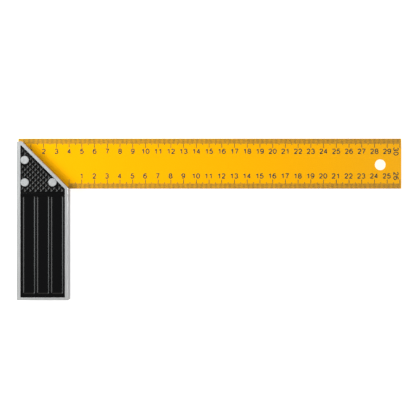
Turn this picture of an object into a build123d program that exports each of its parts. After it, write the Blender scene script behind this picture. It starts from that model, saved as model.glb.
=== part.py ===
from build123d import *
import math
import os

# A riveted try square lying on the back of its stock, in millimetres.
# It is drawn from the corner where the blade's outer edge crosses the line of the stock's outer
# face: X runs along the blade, Y up across it, and Z from the back face to the front face, with
# zero in the middle of the blade. The finished pieces are then moved to the origin of the part.

# Blade: a strip of coated spring steel
blade_reach = 301.4            # from the stock's outer face to the blade's far end
blade_setback = 0.3            # its near end lies this far inside that face
blade_width = 39.4
blade_thickness = 1.2
blade_edge_break = 0.1
hanging_hole_diameter = 8.5
hanging_hole_from_end = 16.5
hanging_hole_from_edge = 20.6

# Stock: an aluminium casting, ground bright on its faces and rim
stock_width = 40.3
stock_length = 124.1
stock_thickness = 13.0
blade_stand_out = 2.6          # the blade's outer edge stands this far above the stock's end
heel_flat = 4.1                # square end left beside the 45 degree mitre
heel_round = 1.2
corner_round = 0.3
edge_break = 0.25
outer_rim = 3.05
inner_rim = 2.5
foot_rim = 2.25
mitre_rim = 2.4
pocket_depth = 3.0             # in each face
pocket_round = 0.5
slot_gap = 0.04                # room beside each face of the blade

# Grips: moulded panels that fill the two pockets
panel_gap = 0.05               # room all round in the pocket
panel_sink = 0.6               # the panel's top lies this far below the rim
knurl_below_blade = 2.3        # the knurl ends this far past the blade's inner edge
knurl_border = 0.5             # plain margin along the rim
knurl_collar = 0.8             # plain ring round each rivet head
knurl_pitch = 2.92
knurl_rib = 0.55               # width of a rib's flat top
knurl_depth = 0.42
knurl_pit_least = 0.12         # a cut-off pit smaller than this, in cubic millimetres, is left out
knurl_pit_in = 14.1            # one pit's centre, from the stock's outer face
knurl_pit_down = 20.2          # and from the blade's outer edge
divider_below_knurl = 1.1
divider_width = 0.5
divider_depth = 0.3
channel_count = 3
channel_below_knurl = 3.4
channel_above_foot = 2.9
channel_margin = 2.05          # from the outer rim to the first channel
channel_width = 9.2
channel_rib = 1.75             # land between two channels
channel_depth = 0.3
channel_round = 1.2

# Rivets: aluminium, headed at both ends and ground flush with the rim
rivet_head_diameter = 6.5
rivet_head_height = 1.5
rivet_head_break = 0.25
rivet_shank_diameter = 4.0
rivet_shank_gap = 0.03         # radial room in each hole
rivet_head_gap = 0.05          # radial room round each head
upper_rivet_down = 17.1        # from the blade's outer edge
lower_rivet_up = 4.8           # from the blade's inner edge

# Every cut runs past the face it opens by this much
overrun = 1.0

# Angles
mitre_angle = 45.0
knurl_wall_angle = 65.0        # from upright
channel_wall_angle = 65.0

# Places that follow from the sizes
half_thickness = stock_thickness / 2
pocket_floor = half_thickness - pocket_depth
panel_top = half_thickness - panel_sink
stock_top = -blade_stand_out
stock_foot = stock_top - stock_length
slot_width = blade_thickness + 2 * slot_gap
mitre_tangent = math.tan(math.radians(mitre_angle))
mitre_cosine = math.cos(math.radians(mitre_angle))
knurl_end = -blade_width - knurl_below_blade
head_radius = rivet_head_diameter / 2
head_hole_radius = head_radius + rivet_head_gap
shank_radius = rivet_shank_diameter / 2
shank_hole_radius = shank_radius + rivet_shank_gap


def mitre_height(x, inset):
    """Height of the mitre line at x, drawn into the stock by inset."""
    return stock_top - (x - heel_flat) * mitre_tangent - inset / mitre_cosine


def mitre_reach(y, inset):
    """Distance in from the outer face to the same line, at the height y."""
    return heel_flat + (stock_top - y - inset / mitre_cosine) / mitre_tangent


# The two outer rivets touch the rim's inner edge, and the third one touches the mitre's rim
outer_line = outer_rim + head_hole_radius
lower_line = -blade_width + lower_rivet_up
rivet_places = {
    "rivet_heel": (outer_line, -upper_rivet_down),
    "rivet_outer": (outer_line, lower_line),
    "rivet_inner": (mitre_reach(lower_line, mitre_rim + head_hole_radius), lower_line),
}


def polygon(points):
    """A flat face inside the given corners."""
    return make_face(Polyline(*points, close=True))


def pocket_face(inset):
    """The pocket's outline, drawn in by inset on every side."""
    left = outer_rim + inset
    right = stock_width - inner_rim - inset
    bottom = stock_foot + foot_rim + inset
    face = polygon([
        (left, bottom),
        (right, bottom),
        (right, mitre_height(right, mitre_rim + inset)),
        (left, mitre_height(left, mitre_rim + inset)),
    ])
    return fillet(face.vertices(), radius=pocket_round - inset)


def rivet_holes(radius, low, high):
    """Three round tools at the rivets' places, from the height low to the height high."""
    circles = Sketch() + [Pos(x, y) * Circle(radius) for x, y in rivet_places.values()]
    return extrude(Plane.XY.offset(low) * circles, amount=high - low)


def make_blade():
    """The steel strip with its hanging hole and rivet holes."""
    strip = Pos(blade_setback, -blade_width) * Box(
        blade_reach - blade_setback, blade_width, blade_thickness,
        align=(Align.MIN, Align.MIN, Align.CENTER),
    )
    strip = chamfer(strip.faces().filter_by(Axis.Z).edges(), length=blade_edge_break)
    hole_place = (blade_reach - hanging_hole_from_end, -hanging_hole_from_edge)
    strip -= Pos(*hole_place) * Cylinder(hanging_hole_diameter / 2, blade_thickness + overrun)
    return strip - rivet_holes(shank_hole_radius, -blade_thickness, blade_thickness)


def make_stock():
    """The casting with its two pockets, the slot for the blade and the rivet holes."""
    right_top = mitre_height(stock_width, 0)
    outline = polygon([
        (0, stock_foot),
        (stock_width, stock_foot),
        (stock_width, right_top),
        (heel_flat, stock_top),
        (0, stock_top),
    ])
    corners = outline.vertices().group_by(Axis.Y)
    outline = fillet(corners[-1].sort_by(Axis.X)[0], radius=heel_round)
    outline = fillet(outline.vertices().group_by(Axis.Y)[0], radius=corner_round)
    body = extrude(outline, amount=half_thickness, both=True)
    body = chamfer(body.faces().filter_by(Axis.Z).edges(), length=edge_break)

    # One pocket in each face, with the web between them left to carry the blade
    pocket = extrude(Plane.XY.offset(pocket_floor) * pocket_face(0), amount=pocket_depth + overrun)
    body -= pocket + mirror(pocket, about=Plane.XY)

    # The slot is sawn through the upper end and stops at the blade's inner edge
    slot = Pos(-overrun, -blade_width) * Box(
        stock_width + 2 * overrun, blade_width + overrun, slot_width,
        align=(Align.MIN, Align.MIN, Align.CENTER),
    )
    body -= slot
    return body - rivet_holes(shank_hole_radius, -half_thickness, half_thickness)


def knurl_pits():
    """Square pits on a lattice turned to the mitre, sloping in to their floors."""
    inset = mitre_rim + knurl_border
    left = outer_rim + knurl_border
    right = stock_width - inner_rim - knurl_border
    zone = polygon([
        (left, knurl_end),
        (right, knurl_end),
        (right, mitre_height(right, inset)),
        (left, mitre_height(left, inset)),
    ])
    zone -= Sketch() + [
        Pos(x, y) * Circle(head_hole_radius + knurl_collar) for x, y in rivet_places.values()
    ]
    limit = extrude(Plane.XY.offset(panel_top) * zone, amount=-2 * knurl_depth)

    side = knurl_pitch - knurl_rib
    pit = extrude(Rectangle(side, side), amount=-knurl_depth, taper=knurl_wall_angle)
    count = 2 * math.ceil((stock_width - knurl_end) / knurl_pitch) + 1
    lattice = Pos(knurl_pit_in, -knurl_pit_down, panel_top) * Rot(0, 0, mitre_angle)
    pits = []
    for step in GridLocations(knurl_pitch, knurl_pitch, count, count):
        place = lattice * step
        x, y = place.position.X, place.position.Y
        beside = left - knurl_pitch < x < right + knurl_pitch
        if beside and knurl_end - knurl_pitch < y < mitre_height(x, inset) + knurl_pitch:
            cut_off = (place * pit & limit).solids()
            pits += [solid for solid in cut_off if solid.volume > knurl_pit_least]
    return pits


def channel_cuts():
    """The long channels below the knurl, with sloping walls and rounded corners."""
    top = knurl_end - channel_below_knurl
    bottom = stock_foot + foot_rim + channel_above_foot
    first = outer_rim + channel_margin + channel_width / 2
    outline = RectangleRounded(channel_width, top - bottom, channel_round)
    cut = extrude(outline, amount=-channel_depth, taper=channel_wall_angle)
    return [
        Pos(first + index * (channel_width + channel_rib), (top + bottom) / 2, panel_top) * cut
        for index in range(channel_count)
    ]


def make_grip():
    """The front panel: a plate with its knurl, dividing groove, channels and rivet seats."""
    thickness = panel_top - pocket_floor
    plate = extrude(Plane.XY.offset(pocket_floor) * pocket_face(panel_gap), amount=thickness)
    plate -= knurl_pits()
    plate -= channel_cuts()
    divider = Pos(0, knurl_end - divider_below_knurl, panel_top) * Box(
        stock_width, divider_width, 2 * divider_depth, align=(Align.MIN, Align.CENTER, Align.CENTER)
    )
    plate -= divider
    head_seat = half_thickness - rivet_head_height
    plate -= rivet_holes(head_hole_radius, head_seat, half_thickness)
    return plate - rivet_holes(shank_hole_radius, pocket_floor - overrun, half_thickness)


def make_rivet(place):
    """One rivet: a shank between two heads that end flush with the rim."""
    shank = Cylinder(shank_radius, stock_thickness - 2 * rivet_head_height)
    head = Pos(0, 0, half_thickness - rivet_head_height) * Cylinder(
        head_radius, rivet_head_height, align=(Align.CENTER, Align.CENTER, Align.MIN)
    )
    head = chamfer(head.edges().group_by(Axis.Z)[-1], length=rivet_head_break)
    return Pos(*place) * (shank + head + mirror(head, about=Plane.XY))


# Origin of the part: middle of the whole outline, on the stock's back face
to_origin = Pos(-blade_reach / 2, -stock_foot / 2, half_thickness)

front_grip = make_grip()
pieces = {
    "blade": make_blade(),
    "stock": make_stock(),
    "front_grip": front_grip,
    "back_grip": mirror(front_grip, about=Plane.XY),
}
for name, place in rivet_places.items():
    pieces[name] = make_rivet(place)

os.makedirs("parts", exist_ok=True)
for name, piece in pieces.items():
    export_step(to_origin * piece, f"parts/{name}.step")
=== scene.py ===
import math
import bmesh
import bpy
from mathutils import Matrix, Vector


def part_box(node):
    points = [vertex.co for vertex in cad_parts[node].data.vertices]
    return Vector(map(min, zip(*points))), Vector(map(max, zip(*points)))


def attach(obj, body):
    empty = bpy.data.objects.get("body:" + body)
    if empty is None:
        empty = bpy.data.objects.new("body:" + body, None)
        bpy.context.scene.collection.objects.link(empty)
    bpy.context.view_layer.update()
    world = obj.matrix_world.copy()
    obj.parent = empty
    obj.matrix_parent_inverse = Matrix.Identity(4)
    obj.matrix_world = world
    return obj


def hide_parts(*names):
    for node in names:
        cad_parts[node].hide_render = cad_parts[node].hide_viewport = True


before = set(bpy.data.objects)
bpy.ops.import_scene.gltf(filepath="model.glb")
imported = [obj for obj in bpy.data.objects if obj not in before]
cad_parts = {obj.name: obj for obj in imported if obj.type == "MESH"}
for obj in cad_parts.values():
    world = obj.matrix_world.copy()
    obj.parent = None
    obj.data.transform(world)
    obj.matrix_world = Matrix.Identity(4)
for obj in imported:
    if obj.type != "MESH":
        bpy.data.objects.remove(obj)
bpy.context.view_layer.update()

# Blade
# The long rule is a strip of spring steel, sheared to width, with its edges eased and a yellow
# enamel stoved on over both faces. It lies in the slot of the stock and ends with a hanging hole.
blade_low, blade_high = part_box("blade")
millimetre = 0.001


def linear(hex_colour):
    """Linear RGBA of an sRGB colour such as "f0a010"."""
    shares = [int(hex_colour[i:i + 2], 16) / 255 for i in (0, 2, 4)]
    return [s / 12.92 if s <= 0.04045 else ((s + 0.055) / 1.055) ** 2.4 for s in shares] + [1.0]


def add_node(tree, kind, inputs=None, **settings):
    """Adds a node with its settings, and sets or links each of its named inputs."""
    node = tree.nodes.new(kind)
    for name, value in settings.items():
        setattr(node, name, value)
    for name, value in (inputs or {}).items():
        if isinstance(value, bpy.types.NodeSocket):
            tree.links.new(value, node.inputs[name])
        else:
            node.inputs[name].default_value = value
    return node


def new_material(name):
    """A new material, its tree and its shader."""
    material = bpy.data.materials.new(name)
    material.use_nodes = True
    tree = material.node_tree
    return material, tree, tree.nodes["Principled BSDF"]


def give_material(piece, material):
    """The piece shows this material alone."""
    piece.data.materials.clear()
    piece.data.materials.append(material)


def yellow_enamel():
    """Stoved enamel: an even, saturated yellow with a satin sheen and a faint orange peel."""
    peel_size = 1.6 * millimetre
    cloud_size = 45 * millimetre
    peel_height = 0.004 * millimetre
    material, tree, shader = new_material("yellow_stoved_enamel")
    place = add_node(tree, "ShaderNodeTexCoord").outputs["Object"]
    clouds = add_node(tree, "ShaderNodeTexNoise", {"Vector": place, "Scale": 1 / cloud_size})
    tone = add_node(tree, "ShaderNodeValToRGB", {"Fac": clouds.outputs["Fac"]})
    tone.color_ramp.elements[0].color = linear("f4ab00")
    tone.color_ramp.elements[1].color = linear("f8af00")
    peel = add_node(tree, "ShaderNodeTexNoise", {
        "Vector": place, "Scale": 1 / peel_size, "Detail": 1.0,
    })
    roughness = add_node(tree, "ShaderNodeMapRange", {
        "Value": peel.outputs["Fac"], "To Min": 0.26, "To Max": 0.34,
    })
    bump = add_node(tree, "ShaderNodeBump", {"Height": peel.outputs["Fac"], "Distance": peel_height})
    tree.links.new(tone.outputs["Color"], shader.inputs["Base Color"])
    tree.links.new(roughness.outputs["Result"], shader.inputs["Roughness"])
    tree.links.new(bump.outputs["Normal"], shader.inputs["Normal"])
    shader.inputs["Specular IOR Level"].default_value = 0.06
    return material


give_material(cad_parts["blade"], yellow_enamel())

# Scale marks
# Millimetre marks run along both edges of both faces, longer at each half and whole centimetre.
# They are screen-printed in black ink, a few hundredths of a millimetre thick. The outer edge
# counts from the blade's own near end, and the inner one from the stock's inner face.
stock_low, stock_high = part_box("stock")
mark_pitch = 1 * millimetre
mark_width = 0.46 * millimetre
ink_height = 0.02 * millimetre
ink_bar_height = 2 * ink_height  # half of it lies inside the blade
bare_edge = 0.1 * millimetre  # the blade's eased edge takes no ink
mark_lengths = {
    "Short Length": 4.0 * millimetre,
    "Half Length": 4.9 * millimetre,
    "Long Length": 7.1 * millimetre,
}
outer_zero = blade_low.x
inner_zero = stock_high.x
marks_per_half = 5
marks_per_whole = 10


def black_ink():
    """Screen ink: a thin matt black with a little green in it, which the yellow brings out."""
    grain_size = 0.4 * millimetre  # coarser than a screen's mesh, so that it shows
    material, tree, shader = new_material("black_screen_ink")
    place = add_node(tree, "ShaderNodeTexCoord").outputs["Object"]
    grain = add_node(tree, "ShaderNodeTexNoise", {"Vector": place, "Scale": 1 / grain_size})
    tone = add_node(tree, "ShaderNodeValToRGB", {"Fac": grain.outputs["Fac"]})
    tone.color_ramp.elements[0].color = linear("12302c")
    tone.color_ramp.elements[1].color = linear("1b3c38")
    tree.links.new(tone.outputs["Color"], shader.inputs["Base Color"])
    shader.inputs["Roughness"].default_value = 0.6
    shader.inputs["Specular IOR Level"].default_value = 0.25
    return material


ink = black_ink()


def new_geometry_tree(name, inputs):
    """A geometry tree with named inputs: its group, its input node and its output node."""
    tree = bpy.data.node_groups.new(name, "GeometryNodeTree")
    tree.interface.new_socket("Geometry", in_out="INPUT", socket_type="NodeSocketGeometry")
    for label, kind in inputs.items():
        tree.interface.new_socket(label, in_out="INPUT", socket_type=kind)
    tree.interface.new_socket("Geometry", in_out="OUTPUT", socket_type="NodeSocketGeometry")
    return tree, add_node(tree, "NodeGroupInput").outputs, add_node(tree, "NodeGroupOutput")


def made_plain(name, mesh, tree, values):
    """A piece whose mesh is what the tree makes of the given one, with no modifier left."""
    piece = bpy.data.objects.new(name, mesh)
    bpy.context.scene.collection.objects.link(piece)
    modifier = piece.modifiers.new("shape", "NODES")
    modifier.node_group = tree
    for item in tree.interface.items_tree:
        if item.name in values:
            modifier[item.identifier] = values[item.name]
    bpy.context.view_layer.update()
    evaluated = piece.evaluated_get(bpy.context.evaluated_depsgraph_get())
    plain = bpy.data.meshes.new_from_object(evaluated)
    piece.modifiers.clear()
    piece.data = plain
    plain.name = name
    return piece


def scale_mark_tree():
    """A row of marks along X at one edge: each is a thin bar that grows in from the edge."""
    tree, given, made = new_geometry_tree("scale_marks", {
        "Pitch": "NodeSocketFloat", "Width": "NodeSocketFloat", "Ink Height": "NodeSocketFloat",
        **{label: "NodeSocketFloat" for label in mark_lengths},
        "Count": "NodeSocketInt", "First Number": "NodeSocketInt",
        "Marks per Half": "NodeSocketInt", "Marks per Whole": "NodeSocketInt",
        "Turn": "NodeSocketFloat", "First Mark": "NodeSocketVector",
        "To Back": "NodeSocketVector", "Material": "NodeSocketMaterial",
    })
    step = add_node(tree, "ShaderNodeCombineXYZ", {"X": given["Pitch"]})
    row = add_node(tree, "GeometryNodeMeshLine", {
        "Count": given["Count"], "Start Location": given["First Mark"], "Offset": step.outputs[0],
    })
    index = add_node(tree, "GeometryNodeInputIndex").outputs[0]
    number = add_node(tree, "ShaderNodeMath", {0: index, 1: given["First Number"]}, operation="ADD")
    length = given["Short Length"]
    for span, longer in (("Marks per Half", "Half Length"), ("Marks per Whole", "Long Length")):
        rest = add_node(tree, "ShaderNodeMath", {
            0: number.outputs[0], 1: given[span],
        }, operation="MODULO")
        at_span = add_node(tree, "ShaderNodeMath", {0: rest.outputs[0], 1: 0.0}, operation="COMPARE")
        length = add_node(tree, "GeometryNodeSwitch", {
            "Switch": at_span.outputs[0], "False": length, "True": given[longer],
        }, input_type="FLOAT").outputs[0]
    # The bar starts at its own point, so that its scale lengthens it away from the edge
    unit_bar = add_node(tree, "GeometryNodeMeshCube")
    from_edge = add_node(tree, "GeometryNodeTransform", {
        "Geometry": unit_bar.outputs["Mesh"], "Translation": (0, 0.5, 0),
    })
    size = add_node(tree, "ShaderNodeCombineXYZ", {
        "X": given["Width"], "Y": length, "Z": given["Ink Height"],
    })
    turn = add_node(tree, "ShaderNodeCombineXYZ", {"Z": given["Turn"]})
    bars = add_node(tree, "GeometryNodeInstanceOnPoints", {
        "Points": row.outputs["Mesh"], "Instance": from_edge.outputs["Geometry"],
        "Rotation": turn.outputs[0], "Scale": size.outputs[0],
    })
    back = add_node(tree, "GeometryNodeTransform", {
        "Geometry": bars.outputs["Instances"], "Translation": given["To Back"],
    })
    both = add_node(tree, "GeometryNodeJoinGeometry", {"Geometry": bars.outputs["Instances"]})
    tree.links.new(back.outputs["Geometry"], both.inputs["Geometry"])
    real = add_node(tree, "GeometryNodeRealizeInstances", {"Geometry": both.outputs["Geometry"]})
    inked = add_node(tree, "GeometryNodeSetMaterial", {
        "Geometry": real.outputs["Geometry"], "Material": given["Material"],
    })
    tree.links.new(inked.outputs["Geometry"], made.inputs["Geometry"])
    return tree


mark_tree = scale_mark_tree()
# Where each row counts from, its first mark's number, the line its marks stand on, and their turn
edge_marks = {
    "outer_scale_marks": (outer_zero, 1, blade_high.y - bare_edge, math.pi),
    "inner_scale_marks": (inner_zero, 0, blade_low.y + bare_edge, 0.0),
}
for name, (zero, first, edge, turn) in edge_marks.items():
    last = int((blade_high.x - zero - mark_width / 2) / mark_pitch)
    marks = made_plain(name, bpy.data.meshes.new(name), mark_tree, {
        **mark_lengths, "Pitch": mark_pitch, "Width": mark_width, "Ink Height": ink_bar_height,
        "Count": last + 1 - first, "First Number": first,
        "Marks per Half": marks_per_half, "Marks per Whole": marks_per_whole, "Turn": turn,
        "First Mark": (zero + first * mark_pitch, edge, blade_high.z),
        "To Back": (0.0, 0.0, blade_low.z - blade_high.z), "Material": ink,
    })
    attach(marks, "root")

# Scale numbers
# Centimetre numbers stand between the marks and the middle of the blade, in the same ink. The
# last one of each scale is turned to fit beside the blade's end. Each digit is drawn in strokes.
digit_height = 4.2 * millimetre
digit_width = 3.1 * millimetre
digit_stroke = 0.72 * millimetre
digit_spacing = 3.5 * millimetre
pair_lead = 0.15 * millimetre  # a pair stands this far before its mark
inner_lead = 0.3 * millimetre  # and every number of the inner scale this much more
number_from_edge = 7.9 * millimetre
ink_layer = 0.003 * millimetre  # a stroke that crosses another lies this much above it
quarter_turn_steps = 5
closing_share = 1e-6  # a stroke whose ends lie nearer than this is a ring


def arc(centre_x, centre_y, radius_x, radius_y, start, end):
    """Points on an ellipse from one angle to another, in degrees."""
    count = max(2, math.ceil(abs(end - start) / 90 * quarter_turn_steps))
    angles = [math.radians(start + (end - start) * i / count) for i in range(count + 1)]
    return [(centre_x + radius_x * math.cos(a), centre_y + radius_y * math.sin(a)) for a in angles]


# Centre lines of the strokes, in shares of a digit's width and height less one stroke's width
six_shares = [
    arc(0.5, 0.31, 0.5, 0.31, 0, 360),
    arc(0.56, 0.46, 0.56, 0.54, 52, 195),
]
digit_shares = {
    "0": [arc(0.5, 0.5, 0.5, 0.5, 0, 360)],
    "1": [[(0.68, 1.0), (0.68, 0.0)], [(0.68, 0.96), (0.52, 0.84), (0.2, 0.74)]],
    "2": [arc(0.5, 0.7, 0.48, 0.3, 165, -30) + [(0.04, 0.0)], [(0.0, 0.0), (1.0, 0.0)]],
    "3": [arc(0.48, 0.745, 0.44, 0.255, 155, -90), arc(0.48, 0.255, 0.52, 0.255, 90, -155)],
    "4": [[(0.72, 1.0), (0.72, 0.0)], [(0.68, 0.98), (0.04, 0.28)], [(0.0, 0.26), (1.0, 0.26)]],
    "5": [
        [(0.9, 1.0), (0.2, 1.0)], [(0.22, 1.0), (0.08, 0.48)], arc(0.47, 0.32, 0.53, 0.32, 140, -155),
    ],
    "6": six_shares,
    "7": [[(0.0, 1.0), (1.0, 1.0)], [(0.98, 1.0), (0.6, 0.55), (0.36, 0.0)]],
    "8": [arc(0.5, 0.75, 0.42, 0.25, 0, 360), arc(0.5, 0.26, 0.5, 0.26, 0, 360)],
    "9": [[(1 - x, 1 - y) for x, y in stroke] for stroke in six_shares],
}


def stroke_tree():
    """Ribbons of ink along the strokes, flat on the blade's faces."""
    tree, given, made = new_geometry_tree("ink_strokes", {
        "Width": "NodeSocketFloat", "Ink Height": "NodeSocketFloat", "Material": "NodeSocketMaterial",
    })
    lines = add_node(tree, "GeometryNodeMeshToCurve", {"Mesh": given["Geometry"]})
    upright = add_node(tree, "GeometryNodeSetCurveNormal", {
        "Curve": lines.outputs["Curve"],
    }, mode="Z_UP")
    section = add_node(tree, "GeometryNodeCurvePrimitiveQuadrilateral", {
        "Width": given["Width"], "Height": given["Ink Height"],
    })
    ribbons = add_node(tree, "GeometryNodeCurveToMesh", {
        "Curve": upright.outputs["Curve"], "Profile Curve": section.outputs["Curve"], "Fill Caps": True,
    })
    real = add_node(tree, "GeometryNodeRealizeInstances", {"Geometry": ribbons.outputs["Mesh"]})
    inked = add_node(tree, "GeometryNodeSetMaterial", {
        "Geometry": real.outputs["Geometry"], "Material": given["Material"],
    })
    tree.links.new(inked.outputs["Geometry"], made.inputs["Geometry"])
    return tree


def draw_number(drawing, number, place):
    """Adds the strokes of a number centred on its place, which turns and moves them."""
    room_across = digit_width - digit_stroke
    room_up = digit_height - digit_stroke
    middle = -(len(number) - 1) / 2 * digit_spacing
    if len(number) > 1:
        middle -= pair_lead
    for digit in number:
        for layer, stroke in enumerate(digit_shares[digit]):
            closed = (Vector(stroke[0]) - Vector(stroke[-1])).length < closing_share
            verts = []
            for x, y in stroke[:-1] if closed else stroke:
                point = (middle + (x - 0.5) * room_across, (y - 0.5) * room_up, layer * ink_layer)
                verts.append(drawing.verts.new(place @ Vector(point)))
            for start, end in zip(verts, verts[1:] + verts[:1] if closed else verts[1:]):
                drawing.edges.new((start, end))
        middle += digit_spacing


number_tree = stroke_tree()
turned_number_gap = 3.1 * millimetre  # from the last mark back to the turned number's middle
# Where each scale counts from, the blade's edge, the way inwards, how far the numbers stand before
# their marks, and how far in the turned number's middle is
edge_numbers = {
    "outer_scale_numbers": (outer_zero, blade_high.y, -1, 0.0, 10.2 * millimetre),
    "inner_scale_numbers": (inner_zero, blade_low.y, 1, inner_lead, 9.95 * millimetre),
}
for name, (zero, edge, inward, lead, turned_number_in) in edge_numbers.items():
    last = int((blade_high.x - zero) / (marks_per_whole * mark_pitch))
    drawing = bmesh.new()
    for face_height, facing in ((blade_high.z, 0.0), (blade_low.z, math.pi)):
        for number in range(1, last + 1):
            mark = zero + number * marks_per_whole * mark_pitch
            x = mark - lead
            y = edge + inward * (number_from_edge + digit_height / 2)
            turn = 0.0
            if number == last:
                x = mark - turned_number_gap
                y = edge + inward * turned_number_in
                turn = -math.pi / 2
            place = Matrix.Translation((x, y, face_height))
            place = place @ Matrix.Rotation(facing, 4, "Y") @ Matrix.Rotation(turn, 4, "Z")
            draw_number(drawing, str(number), place)
    mesh = bpy.data.meshes.new(name)
    drawing.to_mesh(mesh)
    drawing.free()
    numbers = made_plain(name, mesh, number_tree, {
        "Width": digit_stroke, "Ink Height": ink_bar_height, "Material": ink,
    })
    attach(numbers, "root")

# Stock
# The handle is an aluminium pressure die-casting. Its rim, sides and mitre are ground bright on
# a belt, which leaves fine lines along its length, and its two pockets hold the grips.
stock_ease = 0.12 * millimetre
sharp_angle = math.radians(30)  # an edge that turns by more than this is eased
least_length_in_eases = 2.5  # unless it is shorter than this many eases
merge_distance = 0.002 * millimetre
flat_angle = math.radians(1)  # triangles that meet at less than this become one face
ground_tones = ("cbcccd", "d6d7d8")


def ground_aluminium(name, along, across):
    """Ground aluminium: a soft grey metal whose highlights are stretched by fine lines.

    The lines are a few times as wide as a belt or a disc leaves them, so that they show.
    """
    line_height = 0.004 * millimetre
    cloud_size = 12 * millimetre
    material, tree, shader = new_material(name)
    place = add_node(tree, "ShaderNodeTexCoord").outputs["Object"]
    drawn = add_node(tree, "ShaderNodeMapping", {
        "Vector": place, "Scale": (1 / across, 1 / along, 1 / across),
    })
    lines = add_node(tree, "ShaderNodeTexNoise", {
        "Vector": drawn.outputs[0], "Scale": 1.0, "Detail": 3.0,
    })
    clouds = add_node(tree, "ShaderNodeTexNoise", {"Vector": place, "Scale": 1 / cloud_size})
    mottle = add_node(tree, "ShaderNodeMath", {
        0: lines.outputs["Fac"], 1: clouds.outputs["Fac"],
    }, operation="MULTIPLY")
    tone = add_node(tree, "ShaderNodeValToRGB", {"Fac": mottle.outputs[0]})
    tone.color_ramp.elements[0].color = linear(ground_tones[0])
    tone.color_ramp.elements[1].color = linear(ground_tones[1])
    tone.color_ramp.elements[1].position = 0.5  # the product of two noises seldom passes a half
    roughness = add_node(tree, "ShaderNodeMapRange", {
        "Value": lines.outputs["Fac"], "To Min": 0.34, "To Max": 0.42,
    })
    bump = add_node(tree, "ShaderNodeBump", {"Height": lines.outputs["Fac"], "Distance": line_height})
    tree.links.new(tone.outputs["Color"], shader.inputs["Base Color"])
    tree.links.new(roughness.outputs["Result"], shader.inputs["Roughness"])
    tree.links.new(bump.outputs["Normal"], shader.inputs["Normal"])
    shader.inputs["Metallic"].default_value = 1.0
    return material


def eased_copy(node, ease, steps):
    """A merged copy of a CAD node with its sharp edges rounded, which stands for the node."""
    shape = bmesh.new()
    shape.from_mesh(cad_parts[node].data)
    bmesh.ops.remove_doubles(shape, verts=shape.verts, dist=merge_distance)
    bmesh.ops.dissolve_limit(shape, angle_limit=flat_angle, verts=shape.verts, edges=shape.edges)
    sharp = [
        edge for edge in shape.edges
        if edge.is_convex and edge.calc_face_angle(0) > sharp_angle
        and edge.calc_length() > least_length_in_eases * ease
    ]
    rounded = bmesh.ops.bevel(
        shape, geom=sharp, offset=ease, offset_type="OFFSET", segments=steps, profile=0.5,
        affect="EDGES", clamp_overlap=False,
    )
    for face in rounded["faces"]:
        face.smooth = True
    mesh = bpy.data.meshes.new("eased_" + node)
    shape.to_mesh(mesh)
    shape.free()
    copy = bpy.data.objects.new("eased_" + node, mesh)
    bpy.context.scene.collection.objects.link(copy)
    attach(copy, "root")
    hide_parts(node)
    return copy


stock = eased_copy("stock", stock_ease, steps=2)
belt_ground = ground_aluminium(
    "belt_ground_aluminium", along=14 * millimetre, across=0.3 * millimetre,
)
give_material(stock, belt_ground)

# Grips
# Two black ABS mouldings fill the pockets, one in each face. A diamond knurl for the thumb covers
# the end over the blade, and three long channels run below it. The mould leaves a fine satin grain.
grip_ease = 0.15 * millimetre


def black_abs():
    """Moulded ABS: a deep black whose satin comes from a spark-eroded mould."""
    grain_size = 0.25 * millimetre  # coarser than the mould's, so that it shows
    grain_height = 0.0015 * millimetre
    material, tree, shader = new_material("black_moulded_abs")
    place = add_node(tree, "ShaderNodeTexCoord").outputs["Object"]
    grain = add_node(tree, "ShaderNodeTexNoise", {
        "Vector": place, "Scale": 1 / grain_size, "Detail": 2.0,
    })
    tone = add_node(tree, "ShaderNodeValToRGB", {"Fac": grain.outputs["Fac"]})
    tone.color_ramp.elements[0].color = linear("030304")
    tone.color_ramp.elements[1].color = linear("050506")
    roughness = add_node(tree, "ShaderNodeMapRange", {
        "Value": grain.outputs["Fac"], "To Min": 0.19, "To Max": 0.25,
    })
    bump = add_node(tree, "ShaderNodeBump", {"Height": grain.outputs["Fac"], "Distance": grain_height})
    tree.links.new(tone.outputs["Color"], shader.inputs["Base Color"])
    tree.links.new(roughness.outputs["Result"], shader.inputs["Roughness"])
    tree.links.new(bump.outputs["Normal"], shader.inputs["Normal"])
    shader.inputs["Specular IOR Level"].default_value = 0.19
    return material


grip_abs = black_abs()
for name in ("front_grip", "back_grip"):
    grip = eased_copy(name, grip_ease, steps=3)
    give_material(grip, grip_abs)

# Rivets
# Three solid aluminium rivets clamp the grips, the casting and the blade. Their heads are ground
# flush with the rim on a disc, so the lines on them are shorter than on the stock.
disc_ground = ground_aluminium(
    "disc_ground_aluminium", along=3 * millimetre, across=0.4 * millimetre,
)
for name in ("rivet_heel", "rivet_outer", "rivet_inner"):
    give_material(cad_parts[name], disc_ground)

# Floor and backdrop
# A white table top and the pale surround that is seen past it. The metal mirrors a duller table
# top just under the first one, because the glow of the first is only for the camera.
floor_radius = 6.0
surround_radius = 8.0
mirrored_floor_drop = 0.2 * millimetre


def stage_white(name, base, glow):
    """Matt white that glows, so that it stays pale in shadow, and is clear from behind."""
    material, tree, shader = new_material(name)
    shader.inputs["Base Color"].default_value = linear(base)
    shader.inputs["Roughness"].default_value = 0.9
    shader.inputs["Specular IOR Level"].default_value = 0.0
    shader.inputs["Emission Color"].default_value = linear("ffffff")
    shader.inputs["Emission Strength"].default_value = glow
    below = add_node(tree, "ShaderNodeNewGeometry").outputs["Backfacing"]
    clear = add_node(tree, "ShaderNodeBsdfTransparent").outputs["BSDF"]
    seen = add_node(tree, "ShaderNodeMixShader", {"Fac": below, 1: shader.outputs["BSDF"], 2: clear})
    tree.links.new(seen.outputs["Shader"], tree.nodes["Material Output"].inputs["Surface"])
    return material


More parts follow.
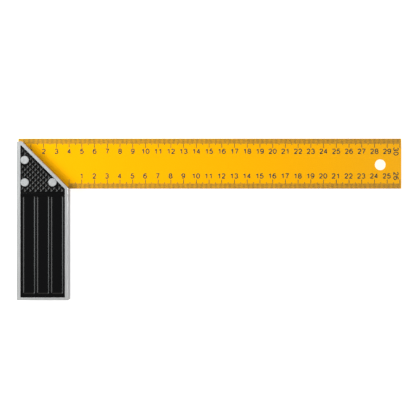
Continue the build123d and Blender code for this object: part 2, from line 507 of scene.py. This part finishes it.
floor_shape = bmesh.new()
bmesh.ops.create_circle(floor_shape, cap_ends=True, segments=64, radius=floor_radius)
mirrored_shape = floor_shape.copy()
bmesh.ops.translate(mirrored_shape, verts=mirrored_shape.verts, vec=(0, 0, -mirrored_floor_drop))
surround_shape = bmesh.new()
bmesh.ops.create_uvsphere(surround_shape, u_segments=48, v_segments=24, radius=surround_radius)
bmesh.ops.reverse_faces(surround_shape, faces=surround_shape.faces)
stage_pieces = []
for name, shape, material in (
    ("floor", floor_shape, stage_white("white_table", base="bcbcbc", glow=0.85)),
    ("mirrored_floor", mirrored_shape, stage_white("dull_white_table", base="b0b0b0", glow=0.42)),
    ("surround", surround_shape, stage_white("white_surround", base="000000", glow=1.0)),
):
    mesh = bpy.data.meshes.new(name)
    shape.to_mesh(mesh)
    shape.free()
    piece = bpy.data.objects.new(name, mesh)
    bpy.context.scene.collection.objects.link(piece)
    give_material(piece, material)
    stage_pieces.append(piece)
floor, mirrored_floor, surround = stage_pieces
floor.visible_glossy = False
mirrored_floor.visible_camera = False
for piece in (mirrored_floor, surround):
    piece.visible_diffuse = False
    piece.visible_transmission = False
    piece.visible_shadow = False
surround.visible_glossy = False

# Lights
# One large soft box stands to the left, a little towards the outer edge, and throws the soft
# shadow beside the mitre. Weaker ones fill from the foot's side, from the outer edge's side and,
# in the reflections alone, from the right. They are all aimed at the middle of the mitre.
mitre_middle = Vector((
    (stock_low.x + stock_high.x) / 2,
    (blade_low.y + blade_high.y) / 2,
    blade_high.z,
))


def soft_box(name, tint, bearing, elevation, distance, width, height, power):
    """An oblong area light that looks at the mitre from a bearing and height in degrees."""
    light = bpy.data.lights.new(name, "AREA")
    light.shape = "RECTANGLE"
    light.size = width
    light.size_y = height
    light.energy = power
    light.color = linear(tint)[:3]
    lamp = bpy.data.objects.new(name, light)
    bpy.context.scene.collection.objects.link(lamp)
    turn = math.radians(bearing)
    rise = math.radians(elevation)
    towards = Vector((
        math.cos(turn) * math.cos(rise),
        math.sin(turn) * math.cos(rise),
        math.sin(rise),
    ))
    lamp.location = mitre_middle + towards * distance
    lamp.rotation_mode = "QUATERNION"
    lamp.rotation_quaternion = towards.to_track_quat("Z", "Y")
    lamp.visible_camera = False
    return lamp


soft_box(
    "key_light", "f8ffff", bearing=165, elevation=35, distance=0.95, width=0.80, height=0.62, power=17,
)
right_fill = soft_box(
    "right_fill", "ffffff", bearing=0, elevation=54, distance=1.6, width=0.7, height=0.7, power=14,
)
right_fill.visible_diffuse = False
soft_box(
    "near_fill", "fff5ea", bearing=-138, elevation=41, distance=1.6, width=0.5, height=0.5, power=6.3,
)
soft_box(
    "far_fill", "fff5ea", bearing=100, elevation=41, distance=1.6, width=1.0, height=1.0, power=4.8,
)
world = bpy.data.worlds.new("dim_room")
bpy.context.scene.world = world
world.use_nodes = True
room_light = world.node_tree.nodes["Background"]
room_light.inputs["Color"].default_value = linear("ffffff")
room_light.inputs["Strength"].default_value = 0.28

# Camera
# It looks straight down on the square, as the photograph does. The blade's scale sets how much
# of the blade's plane the frame spans, and the strip of side face that shows sets its distance.
frame_pixels = 416
pixels_per_metre = 1271.3
outer_zero_pixel = 18.37
blade_edge_pixel = 138.6
camera_distance = 0.80
view_width = frame_pixels / pixels_per_metre
camera_data = bpy.data.cameras.new("camera")
camera_data.sensor_width = 36.0
camera_data.lens = camera_data.sensor_width * camera_distance / view_width
camera = bpy.data.objects.new("camera", camera_data)
bpy.context.scene.collection.objects.link(camera)
camera.location = (
    outer_zero + (frame_pixels / 2 - outer_zero_pixel) / pixels_per_metre,
    blade_high.y - (frame_pixels / 2 - blade_edge_pixel) / pixels_per_metre,
    (blade_low.z + blade_high.z) / 2 + camera_distance,
)
bpy.context.scene.camera = camera
bpy.context.scene.view_settings.view_transform = "Standard"
